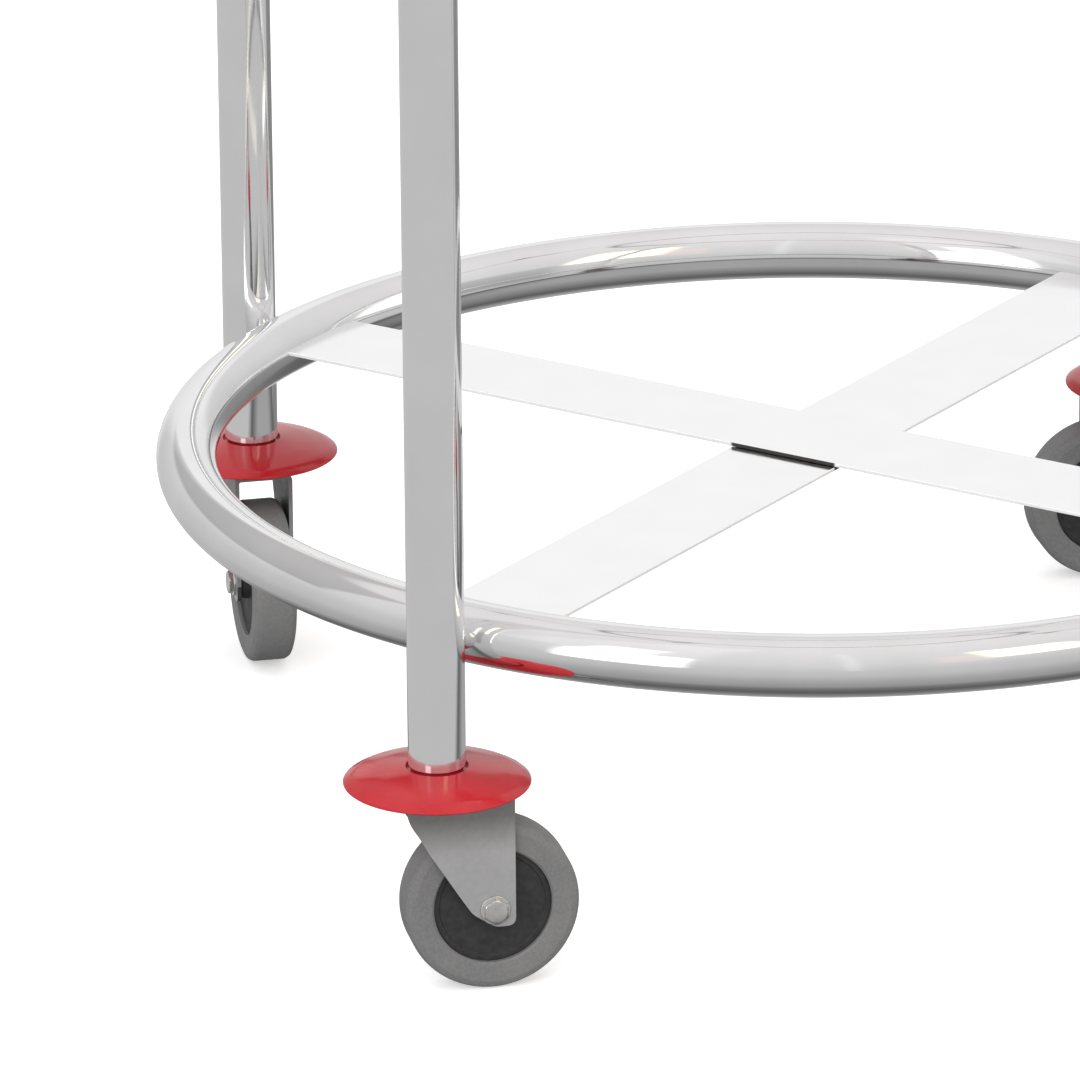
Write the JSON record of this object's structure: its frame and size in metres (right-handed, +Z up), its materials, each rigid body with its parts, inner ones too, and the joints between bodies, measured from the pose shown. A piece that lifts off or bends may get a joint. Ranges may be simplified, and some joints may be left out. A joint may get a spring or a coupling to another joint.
{
  "type": "round garment rack",
  "caption": "Round chrome garment rack: a hanging ring on sliding uprights, a base ring with crossed flat bars, and swivel casters under red bumper discs.",
  "frame": {"origin": "on the rack's vertical centre line, at floor level", "axes": "+Z up; +X from the centre towards the right upright, -Y towards the front upright; the upper cross bar runs along X"},
  "size_m": [0.9016, 0.9016, 1.4],
  "materials": {
    "chrome": "polished chrome plate",
    "steel": "bright plated steel",
    "zinc": "light grey zinc plate, satin",
    "red_plastic": "glossy red",
    "tyre_rubber": "mid grey rubber, satin",
    "hub_plastic": "dark grey, satin",
    "black_plastic": "black, satin"
  },
  "bodies": {
    "frame": {"base_ring": "chrome", "cross_bar_upper": "chrome", "cross_bar_lower": "chrome", "upright_right": "chrome", "collar_right": "chrome", "stem_socket_right": "black_plastic", "caster_stem_right": "steel", "swivel_race_right": "steel", "bumper_right": "red_plastic", "upright_back": "chrome", "collar_back": "chrome", "stem_socket_back": "black_plastic", "caster_stem_back": "steel", "swivel_race_back": "steel", "bumper_back": "red_plastic", "upright_left": "chrome", "collar_left": "chrome", "stem_socket_left": "black_plastic", "caster_stem_left": "steel", "swivel_race_left": "steel", "bumper_left": "red_plastic", "upright_front": "chrome", "collar_front": "chrome", "stem_socket_front": "black_plastic", "caster_stem_front": "steel", "swivel_race_front": "steel", "bumper_front": "red_plastic"},
    "upper_frame": {"hanging_ring": "chrome", "inner_tube_right": "chrome", "inner_tube_back": "chrome", "inner_tube_left": "chrome", "inner_tube_front": "chrome"},
    "caster_right": {"fork_right": "zinc", "axle_bolt_right": "steel", "axle_nut_right": "steel", "axle_sleeve_right": "steel"},
    "wheel_right": {"hub_right": "hub_plastic", "tyre_right": "tyre_rubber"},
    "knob_right": {"clamp_knob_right": "black_plastic"},
    "caster_back": {"fork_back": "zinc", "axle_bolt_back": "steel", "axle_nut_back": "steel", "axle_sleeve_back": "steel"},
    "wheel_back": {"hub_back": "hub_plastic", "tyre_back": "tyre_rubber"},
    "knob_back": {"clamp_knob_back": "black_plastic"},
    "caster_left": {"fork_left": "zinc", "axle_bolt_left": "steel", "axle_nut_left": "steel", "axle_sleeve_left": "steel"},
    "wheel_left": {"hub_left": "hub_plastic", "tyre_left": "tyre_rubber"},
    "knob_left": {"clamp_knob_left": "black_plastic"},
    "caster_front": {"fork_front": "zinc", "axle_bolt_front": "steel", "axle_nut_front": "steel", "axle_sleeve_front": "steel"},
    "wheel_front": {"hub_front": "hub_plastic", "tyre_front": "tyre_rubber"},
    "knob_front": {"clamp_knob_front": "black_plastic"}
  },
  "joints": [
    {"name": "height_slide", "type": "slide", "parent": "frame", "child": "upper_frame", "axis": [0, 0, 1], "range_m": [0, 0.4]},
    {"name": "caster_right_swivel", "type": "hinge", "parent": "frame", "child": "caster_right", "pos_m": [0.3988, 0, 0.1187], "axis": [0, 0, 1], "continuous": true},
    {"name": "wheel_right_spin", "type": "hinge", "parent": "caster_right", "child": "wheel_right", "pos_m": [0.37865, 0.02015, 0.04906], "axis": [0.7071, 0.7071, 0], "continuous": true},
    {"name": "knob_right_turn", "type": "hinge", "parent": "frame", "child": "knob_right", "pos_m": [0.3988, 0, 0.9525], "axis": [1, 0, 0], "range_deg": [0, 360]},
    {"name": "caster_back_swivel", "type": "hinge", "parent": "frame", "child": "caster_back", "pos_m": [0, 0.3988, 0.1187], "axis": [0, 0, 1], "continuous": true},
    {"name": "wheel_back_spin", "type": "hinge", "parent": "caster_back", "child": "wheel_back", "pos_m": [-0.02015, 0.37865, 0.04906], "axis": [-0.7071, 0.7071, 0], "continuous": true},
    {"name": "knob_back_turn", "type": "hinge", "parent": "frame", "child": "knob_back", "pos_m": [0, 0.3988, 0.9525], "axis": [0, 1, 0], "range_deg": [0, 360]},
    {"name": "caster_left_swivel", "type": "hinge", "parent": "frame", "child": "caster_left", "pos_m": [-0.3988, 0, 0.1187], "axis": [0, 0, 1], "continuous": true},
    {"name": "wheel_left_spin", "type": "hinge", "parent": "caster_left", "child": "wheel_left", "pos_m": [-0.37865, -0.02015, 0.04906], "axis": [-0.7071, -0.7071, 0], "continuous": true},
    {"name": "knob_left_turn", "type": "hinge", "parent": "frame", "child": "knob_left", "pos_m": [-0.3988, 0, 0.9525], "axis": [-1, 0, 0], "range_deg": [0, 360]},
    {"name": "caster_front_swivel", "type": "hinge", "parent": "frame", "child": "caster_front", "pos_m": [0, -0.3988, 0.1187], "axis": [0, 0, 1], "continuous": true},
    {"name": "wheel_front_spin", "type": "hinge", "parent": "caster_front", "child": "wheel_front", "pos_m": [0.02015, -0.37865, 0.04906], "axis": [0.7071, -0.7071, 0], "continuous": true},
    {"name": "knob_front_turn", "type": "hinge", "parent": "frame", "child": "knob_front", "pos_m": [0, -0.3988, 0.9525], "axis": [0, -1, 0], "range_deg": [0, 360]}
  ]
}
